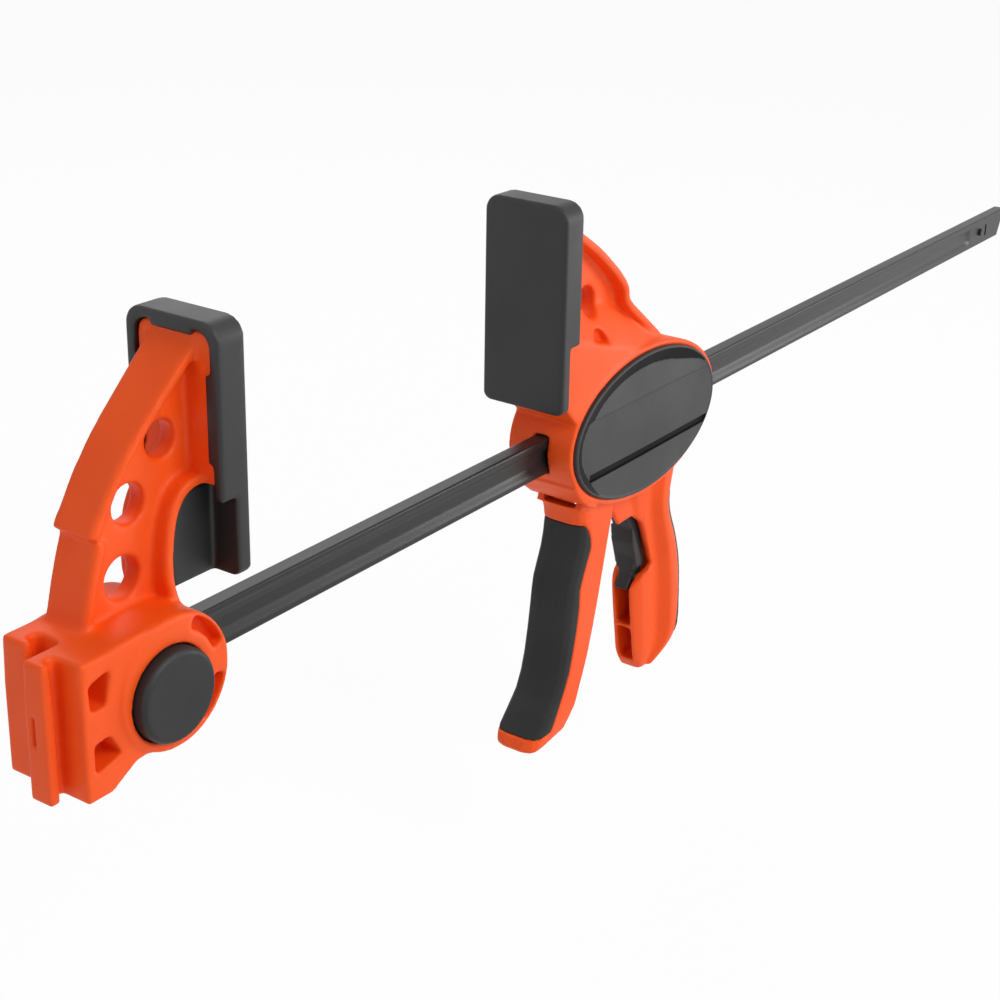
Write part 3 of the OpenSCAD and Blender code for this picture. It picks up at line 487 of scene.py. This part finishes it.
# %% The strip bent round the handle's back
# The solid strip is flat. It spreads to the handle's sides, less so towards its two ends, and
# drops forward past the flat of the back.
wrapped_half = 10.5 * mm
flat_half = 7.0 * mm
corner_drop = 2.6 * mm
end_taper = 9 * mm
strip_low, strip_high = box_of("handle_strip")


def clamped(value):
    """The value, but no less than 0 and no more than 1."""
    return max(0.0, min(1.0, value))


for vert in strip.data.vertices:
    to_end = clamped(min(vert.co.z - strip_low.z, strip_high.z - vert.co.z) / end_taper)
    spread = 1 + (wrapped_half / strip_high.y - 1) * math.sin(math.pi / 2 * to_end)
    vert.co.y *= spread
    over = max(0.0, abs(vert.co.y) - flat_half) / (wrapped_half - flat_half)
    vert.co.x -= corner_drop * over ** 2
print("strip's half width goes from", round(strip_high.y, 5), "to", wrapped_half)

# %% The trigger, its grip and the release lever
moulded("trigger", cube=0.4 * mm, rounds=10, triangles=90000)
moulded("trigger_grip", cube=0.4 * mm, rounds=6, triangles=40000)
moulded("release_lever", cube=0.35 * mm, rounds=6, triangles=20000)

# %% [markdown]
# ## Trees of Geometry Nodes
# A rolled bar and a coiled spring each follow a rule: one section along one line. Such a piece
# is a small tree of nodes with its sizes as named inputs. The tree's result is then kept as a
# plain mesh, because a finished piece needs no modifier.

# %% Helpers for places and moves in a tree
def places(tree):
    """Each point's own x, y and z."""
    point = tree.nodes.new("GeometryNodeInputPosition").outputs[0]
    return node_of(tree, "ShaderNodeSeparateXYZ", Vector=point).outputs


def together(tree, x=0.0, y=0.0, z=0.0):
    """One vector from three amounts."""
    return node_of(tree, "ShaderNodeCombineXYZ", X=x, Y=y, Z=z).outputs[0]


def moved(tree, geometry, x=0.0, y=0.0, z=0.0):
    """Move each point by these amounts."""
    return node_of(tree, "GeometryNodeSetPosition", Geometry=geometry,
                   Offset=together(tree, x, y, z)).outputs[0]


def placed(tree, geometry, at, turned=(0, 0, 0)):
    """The geometry turned and carried to a place."""
    return node_of(tree, "GeometryNodeTransform", Geometry=geometry, Translation=at,
                   Rotation=turned).outputs[0]


# %% Helpers for a tree's end and its result
sharp_above = math.radians(38)


def end_tree(tree, made, geometry, slot):
    """Every tree ends the same way: real geometry with its material."""
    real = node_of(tree, "GeometryNodeRealizeInstances", Geometry=geometry).outputs[0]
    painted = node_of(tree, "GeometryNodeSetMaterial", Geometry=real, Material=finishes[slot]).outputs[0]
    plug(tree, made["Geometry"], painted)


def with_hard_edges(mesh):
    """Smooth shading, but for the edges that really are edges."""
    mesh.shade_smooth()
    mesh.set_sharp_from_angle(angle=sharp_above)
    return mesh


def built(tree, name, node, sizes):
    """The tree's result with these sizes as a plain piece that stands for the node."""
    draft = bpy.data.objects.new(name + "_draft", bpy.data.meshes.new(name + "_draft"))
    scene.collection.objects.link(draft)
    modifier = draft.modifiers.new("tree", "NODES")
    modifier.node_group = tree
    for item in tree.interface.items_tree:
        if item.in_out == "INPUT":
            modifier[item.identifier] = sizes[item.name]
    mesh = evaluated_mesh(draft, name)
    bpy.data.objects.remove(draft)
    return shown(with_hard_edges(mesh), name, node)


# %% [markdown]
# ## The bar
# The bar is rolled: its corners are round and a shallow groove with soft shoulders runs along
# each side, fading out before the far end, which is cropped at a slant. A line is swept with a
# rounded section, its rings crowded at the far end, and the groove is pushed into the points.

# %% The bar's sweep
bar_rings = 90
plain_rings_share = 0.05
crowded_length = 66 * mm
section_points = 112
corner_points = 4


def swept_bar(tree, given):
    """A section with round corners along a line whose rings are crowded at the far end."""
    line = node_of(tree, "GeometryNodeCurvePrimitiveLine", End=(1, 0, 0)).outputs[0]
    line = node_of(tree, "GeometryNodeResampleCurve", Curve=line, Count=bar_rings).outputs[0]
    x = places(tree)[0]
    crowded_from = math_of(tree, "SUBTRACT", given["Reach"], crowded_length)
    plain_way = ramp(tree, x, 0.0, plain_rings_share, given["Tail"], crowded_from)
    crowded_way = ramp(tree, x, plain_rings_share, 1.0, 0.0, crowded_length)
    wanted = math_of(tree, "ADD", plain_way, crowded_way)
    line = moved(tree, line, x=math_of(tree, "SUBTRACT", wanted, x))
    line = node_of(tree, "GeometryNodeSetCurveNormal", {"mode": "Z_UP"}, Curve=line).outputs[0]
    section = node_of(tree, "GeometryNodeCurvePrimitiveQuadrilateral", Width=given["Thickness"],
                      Height=given["Height"]).outputs[0]
    section = node_of(tree, "GeometryNodeFilletCurve", {"mode": "POLY"}, Curve=section,
                      Radius=given["Corner"], Count=corner_points).outputs[0]
    section = node_of(tree, "GeometryNodeResampleCurve", Curve=section, Count=section_points).outputs[0]
    return node_of(tree, "GeometryNodeCurveToMesh", Curve=line, Profile_Curve=section,
                   Fill_Caps=True).outputs[0]


# %% The bar's groove and its slanted end
groove_floor_share = 0.35
run_out_length = 6 * mm
cropped_length = 14 * mm


def groove_push(tree, given, x, y, z):
    """How far each point goes inward: most near the middle height, and nothing at the plain end."""
    half_groove = math_of(tree, "DIVIDE", given["Groove Height"], 2.0)
    outer = math_of(tree, "ADD", half_groove, given["Groove Depth"])
    floor_edge = math_of(tree, "MULTIPLY", half_groove, groove_floor_share)
    in_groove = ramp(tree, math_of(tree, "ABSOLUTE", z), outer, floor_edge, smooth=True)
    groove_end = math_of(tree, "SUBTRACT", given["Reach"], given["Plain End"])
    run_out = math_of(tree, "SUBTRACT", groove_end, run_out_length)
    along = ramp(tree, x, run_out, groove_end, 1.0, 0.0, smooth=True)
    depth = math_of(tree, "MULTIPLY", math_of(tree, "MULTIPLY", in_groove, along), given["Groove Depth"])
    return math_of(tree, "MULTIPLY", math_of(tree, "SIGN", y), math_of(tree, "MULTIPLY", depth, -1.0))


def crop_pull(tree, given, x, z):
    """How far each point near the far end is drawn back: the lower it is, the further."""
    cropped_from = math_of(tree, "SUBTRACT", given["Reach"], cropped_length)
    below_top = math_of(tree, "SUBTRACT", 0.5, math_of(tree, "DIVIDE", z, given["Height"]))
    near_end = ramp(tree, x, cropped_from, given["Reach"], 0.0, -1.0)
    return math_of(tree, "MULTIPLY", math_of(tree, "MULTIPLY", below_top, given["Slant"]), near_end)


# %% The bar's cuts
hole_points = 48
right_through = 20 * mm
slot_length = 40 * mm
mark_through = 1.2 * mm
mark_drop = 0.3 * mm


def block(tree, at, x, y, z):
    """A block with these sizes at a place."""
    return placed(tree, node_of(tree, "GeometryNodeMeshCube", Size=together(tree, x, y, z)).outputs[0], at)


def bar_cutters(tree, given):
    """A hole for the lock pin, a slot from it to the near end, and a mark on each side."""
    hole = node_of(tree, "GeometryNodeMeshCylinder", Vertices=hole_points, Radius=given["Pin Hole"],
                   Depth=right_through).outputs[0]
    slot_at = math_of(tree, "SUBTRACT", given["Pin Place"], (slot_length / 2, 0, 0),
                      kind="ShaderNodeVectorMath")
    cutters = [placed(tree, hole, given["Pin Place"], turned=(math.pi / 2, 0, 0)),
               block(tree, slot_at, slot_length, right_through, given["Neck Slot"])]
    for side in (-1, 1):
        side_y = math_of(tree, "MULTIPLY", given["Thickness"], side / 2)
        mark_at = together(tree, given["Mark Place"], side_y, -mark_drop)
        cutters.append(block(tree, mark_at, given["Mark Width"], mark_through, given["Mark Height"]))
    return cutters


# %% The bar's tree
def make_bar_tree():
    """The sweep, its groove and slant, its cuts, and last the bar's height above the origin."""
    tree, given, made = new_group("rolled_bar", "GeometryNodeTree", {
        "Tail": "Float", "Reach": "Float", "Height": "Float", "Thickness": "Float", "Corner": "Float",
        "Groove Height": "Float", "Groove Depth": "Float", "Plain End": "Float", "Slant": "Float",
        "Axis Height": "Float", "Pin Hole": "Float", "Pin Place": "Vector", "Neck Slot": "Float",
        "Mark Place": "Float", "Mark Width": "Float", "Mark Height": "Float"}, {"Geometry": "Geometry"})
    swept = swept_bar(tree, given)
    x, y, z = places(tree)
    shaped = moved(tree, swept, x=crop_pull(tree, given, x, z), y=groove_push(tree, given, x, y, z))
    drilled = node_of(tree, "GeometryNodeMeshBoolean", {"operation": "DIFFERENCE", "solver": "EXACT"})
    plug(tree, drilled.inputs["Mesh 1"], shaped)
    for cutter in bar_cutters(tree, given):
        plug(tree, drilled.inputs["Mesh 2"], cutter)
    end_tree(tree, made, moved(tree, drilled.outputs["Mesh"], z=given["Axis Height"]), "bar_oxide")
    return tree


# %% The bar
pin_room = 0.05 * mm
mark_from_stop = 6 * mm
bar_low, bar_high = box_of("bar")
bar_axis = (bar_low.z + bar_high.z) / 2
pin_low, pin_high = box_of("lock_pin")
pin_middle = (pin_low + pin_high) / 2
built(make_bar_tree(), "rolled_bar", "bar", {
    "Tail": bar_low.x,
    "Reach": bar_high.x,
    "Height": bar_high.z - bar_low.z,
    "Thickness": bar_high.y - bar_low.y,
    "Corner": 0.7 * mm,
    "Groove Height": 8.0 * mm,
    "Groove Depth": 1.3 * mm,
    "Plain End": 44 * mm,
    "Slant": 7.5 * mm,
    "Axis Height": bar_axis,
    "Pin Hole": (pin_high.x - pin_low.x) / 2 + pin_room,
    "Pin Place": (pin_middle.x, 0, pin_middle.z - bar_axis),
    "Neck Slot": 3.4 * mm,
    "Mark Place": box_of("bar_stop_pin")[1].x + mark_from_stop,
    "Mark Width": 1.8 * mm,
    "Mark Height": 5.8 * mm,
})

# %% [markdown]
# ## Springs
# Three coil springs sit in the clamp. Each is a wire on a spiral whose first and last turns are
# closed, as a real spring's are, so that it can push on a flat face. One tree makes all three.

# %% The spring's tree
turn_points = 28
wire_points = 10
coil_takes = {"Turns": "Float", "Radius": "Float", "Wire": "Float", "Length": "Float",
              "Turned": "Vector", "Start": "Vector"}


def make_spring_tree():
    """A wire on a spiral that climbs slowly in its first and last turns, turned and carried to its place."""
    tree, given, made = new_group("coil_spring", "GeometryNodeTree", coil_takes, {"Geometry": "Geometry"})
    half_wire = math_of(tree, "DIVIDE", given["Wire"], 2.0)
    middle_radius = math_of(tree, "SUBTRACT", given["Radius"], half_wire)
    spiral = node_of(tree, "GeometryNodeCurveSpiral", Resolution=turn_points, Rotations=given["Turns"],
                     Start_Radius=middle_radius, End_Radius=middle_radius, Height=1.0).outputs[0]
    # The spiral is made 1 high, so a point's height is its share of the wire.
    share = places(tree)[2]
    one_turn = math_of(tree, "DIVIDE", 1.0, given["Turns"])
    last_turn = math_of(tree, "SUBTRACT", 1.0, one_turn)
    open_length = math_of(tree, "SUBTRACT", given["Length"], math_of(tree, "MULTIPLY", given["Wire"], 3.0))
    first_turn_end = math_of(tree, "MULTIPLY", given["Wire"], 1.5)
    first = ramp(tree, share, 0.0, one_turn, half_wire, first_turn_end)
    middle = ramp(tree, share, one_turn, last_turn, 0.0, open_length)
    closing = ramp(tree, share, last_turn, 1.0, 0.0, given["Wire"])
    wanted = math_of(tree, "ADD", first, math_of(tree, "ADD", middle, closing))
    shaped = moved(tree, spiral, z=math_of(tree, "SUBTRACT", wanted, share))
    section = node_of(tree, "GeometryNodeCurvePrimitiveCircle", Resolution=wire_points,
                      Radius=half_wire).outputs[0]
    wire = node_of(tree, "GeometryNodeCurveToMesh", Curve=shaped, Profile_Curve=section,
                   Fill_Caps=True).outputs[0]
    end_tree(tree, made, placed(tree, wire, given["Start"], turned=given["Turned"]), "plain_steel")
    return tree


# %% The three springs
spring_tree = make_spring_tree()
wire_d = 1.2 * mm


def spring(node, along, turns):
    """A coil in the node's own box, lying along x or y, that starts at the box's low end."""
    low, high = box_of(node)
    centre = (low + high) / 2
    across = 1 if along == 0 else 0
    start = centre.copy()
    start[along] = low[along]
    piece = built(spring_tree, node + "_coil", node, {
        "Turns": turns, "Radius": (high[across] - low[across]) / 2, "Wire": wire_d,
        "Length": high[along] - low[along], "Start": start,
        "Turned": (0, math.pi / 2, 0) if along == 0 else (-math.pi / 2, 0, 0)})
    anchor = centre.copy()
    anchor[along] = high[along]
    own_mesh(piece)


spring("drive_spring", along=0, turns=5.0)
spring("brake_spring", along=0, turns=5.0)
spring("button_spring", along=1, turns=4.0)

# %% [markdown]
# ## The oval covers
# Each cover is a shallow oval dish: a round rim, a sloping wall that is wider along the top, and
# a face with a ridge above which it sinks back, and a groove across the lower third. All of that
# is one height for each point of the oval, so the cover is a grid of rows lifted by one function.
# The mould is etched on the face. The upper wall, which faces down under the rim, and the groove
# get a near-black finish as painted shade.

# %% Sizes of the dish
# A share is a part of the oval's half length or half height, counted from its middle.
rim_w = 0.7 * mm
rim_round = 0.6 * mm
wall_w = 3.4 * mm
upper_wall_extra = 1.6 * mm
least_wall_part = 0.2
dish_depth = 0.2 * mm
wide_side_extra = 0.5 * mm
sinking_slope = 0.11
upper_blend = 0.5 * mm
ridge_share = 0.40
ridge_w = 0.5 * mm
ridge_h = 0.3 * mm
ridge_from = 0.75
groove_share = -0.41
groove_left_share = -0.80
groove_w = 3.2 * mm
groove_depth = 1.0 * mm
groove_side_part = 0.25
groove_end_w = 0.8 * mm
groove_from_rim = 0.3 * mm
groove_rim_w = 0.5 * mm
thinnest = 0.25 * mm
print("ridge and groove at", ridge_share, "and", groove_share, "of a cover's half height")


# %% Which side of the oval has the wide wall
wide_slant = 0.8
wide_shift = 0.35
wide_blend = 0.7


def smooth_step(value):
    """0 below 0, 1 above 1 and a soft way between."""
    value = clamped(value)
    return value * value * (3 - 2 * value)


def wide_side(x_share, z_share):
    """1 at the top towards the fixed jaw, 0 on the opposite side, and a soft way between."""
    return smooth_step((z_share - wide_slant * x_share + wide_shift) / wide_blend)


# %% The height of a cover at a point
never_zero = 1e-6
# Where the near-black painted shade goes: the span of down_wall, the least wide-side share and the least
# groove share.
painted_shade_wall = (0.02, 0.99)
painted_shade_wide = 0.15
painted_shade_groove = 0.2


def cover_point(x, z, half_l, half_h, proud):
    """How far the cover stands out at a point of its oval, and whether that point gets the near-black painted
    shade.
    """
    out = math.hypot(x / half_l, z / half_h)
    slope = math.hypot(x / half_l ** 2, z / half_h ** 2) / max(out, never_zero)
    to_rim = (1 - out) / max(slope, never_zero)
    # The wall goes from the rim down to the face, which sinks further above the ridge.
    above = z - ridge_share * half_h
    upper = smooth_step(above / upper_blend + 0.5)
    wide = wide_side(x / half_l, z / half_h)
    width = (wall_w + upper_wall_extra * upper) * max(least_wall_part, wide)
    depth = dish_depth + wide_side_extra * wide + max(0.0, above) * sinking_slope * wide
    down_wall = clamped((to_rim - rim_w) / width)
    height = proud - depth * down_wall
    # The ridge stands on the face only, and the groove ends softly at its left and at the rim.
    on_face = clamped((down_wall - ridge_from) / (1 - ridge_from))
    height += ridge_h * max(0.0, 1 - abs(above) / ridge_w) * on_face
    across = 1 - abs(z - groove_share * half_h) / (groove_w / 2)
    along = (x - groove_left_share * half_l) / groove_end_w
    inside = (to_rim - groove_from_rim) / groove_rim_w
    in_groove = smooth_step(across / groove_side_part) * smooth_step(along) * smooth_step(inside)
    height -= groove_depth * in_groove
    # The rim's outer edge is a quarter round.
    if to_rim < rim_round:
        height -= rim_round - math.sqrt(max(0.0, rim_round ** 2 - (rim_round - to_rim) ** 2))
    # Points on the upper wall and in the groove get the near-black painted shade.
    on_wall = painted_shade_wall[0] < down_wall < painted_shade_wall[1] and wide > painted_shade_wide
    return max(thinnest, height), on_wall or in_groove > painted_shade_groove


# %% The rows of the grid
last_row_deg = 89.5
ridge_step = 0.14 * mm
ridge_rows = 5
groove_step = 0.12 * mm
groove_rows = 14


def cover_levels(half_h, rows):
    """The rows' heights: closer at the rim, with extra rows over the ridge and the groove."""
    turns = [math.radians(2 * last_row_deg * k / rows - last_row_deg) for k in range(rows + 1)]
    even = [half_h * math.sin(turn) for turn in turns]
    ridge = [ridge_share * half_h + k * ridge_step for k in range(-ridge_rows, ridge_rows + 1)]
    groove = [groove_share * half_h + k * groove_step for k in range(-groove_rows, groove_rows + 1)]
    return sorted(even + ridge + groove)


# %% The two covers
peg_length = 1.2 * mm
join_distance = 0.001 * mm


def close_back(shape, back_y):
    """Give the lifted face a wall down to the flat back, and close that."""
    rim = [edge for edge in shape.edges if edge.is_boundary]
    wall = bmesh.ops.extrude_edge_only(shape, edges=rim)["geom"]
    for vert in (item for item in wall if isinstance(item, bmesh.types.BMVert)):
        vert.co.y = back_y
    bmesh.ops.holes_fill(shape, edges=[edge for edge in shape.edges if edge.is_boundary], sides=0)
    bmesh.ops.remove_doubles(shape, verts=shape.verts, dist=join_distance)
    bmesh.ops.recalc_face_normals(shape, faces=shape.faces)


def cover(node, outward):
    """A grid of rows over the oval, lifted by cover_point, closed by a wall and a flat back."""
    low, high = box_of(node)
    half_l, half_h = (high.x - low.x) / 2, (high.z - low.z) / 2
    centre_x, centre_z = (high.x + low.x) / 2, (high.z + low.z) / 2
    face_y, back_y = (high.y, low.y + peg_length) if outward > 0 else (low.y, high.y - peg_length)
    proud = abs(face_y - back_y)
    rows, columns = ((150, 130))
    shape = bmesh.new()
    grid = []
    painted_shade_points = set()
    for z in cover_levels(half_h, rows):
        reach = half_l * math.sqrt(max(0.0, 1 - (z / half_h) ** 2))
        row = []
        for k in range(columns + 1):
            x = reach * math.sin(math.radians(-90 + 180 * k / columns))
            # The second result marks a point that gets the near-black painted shade.
            height, smooth = cover_point(x, z, half_l, half_h, proud)
            row.append(shape.verts.new((centre_x + x, back_y + outward * height, centre_z + z)))
            if smooth:
                painted_shade_points.add(row[-1])
        grid.append(row)
    for lower, upper in zip(grid, grid[1:]):
        for k in range(columns):
            face = shape.faces.new((lower[k], lower[k + 1], upper[k + 1], upper[k]))
            # A face with all its points in the painted shade takes the second, near-black finish.
            face.material_index = int(all(vert in painted_shade_points for vert in face.verts))
    close_back(shape, back_y)
    mesh = bpy.data.meshes.new(node + "_cap")
    shape.to_mesh(mesh)
    shape.free()
    # The cover's second finish is its near-black painted shade.
    shown(with_hard_edges(mesh), node + "_cap", node, (finishes["cover_grain"], finishes["cover_painted_shade"]))


cover("near_cover", -1)
cover("far_cover", 1)
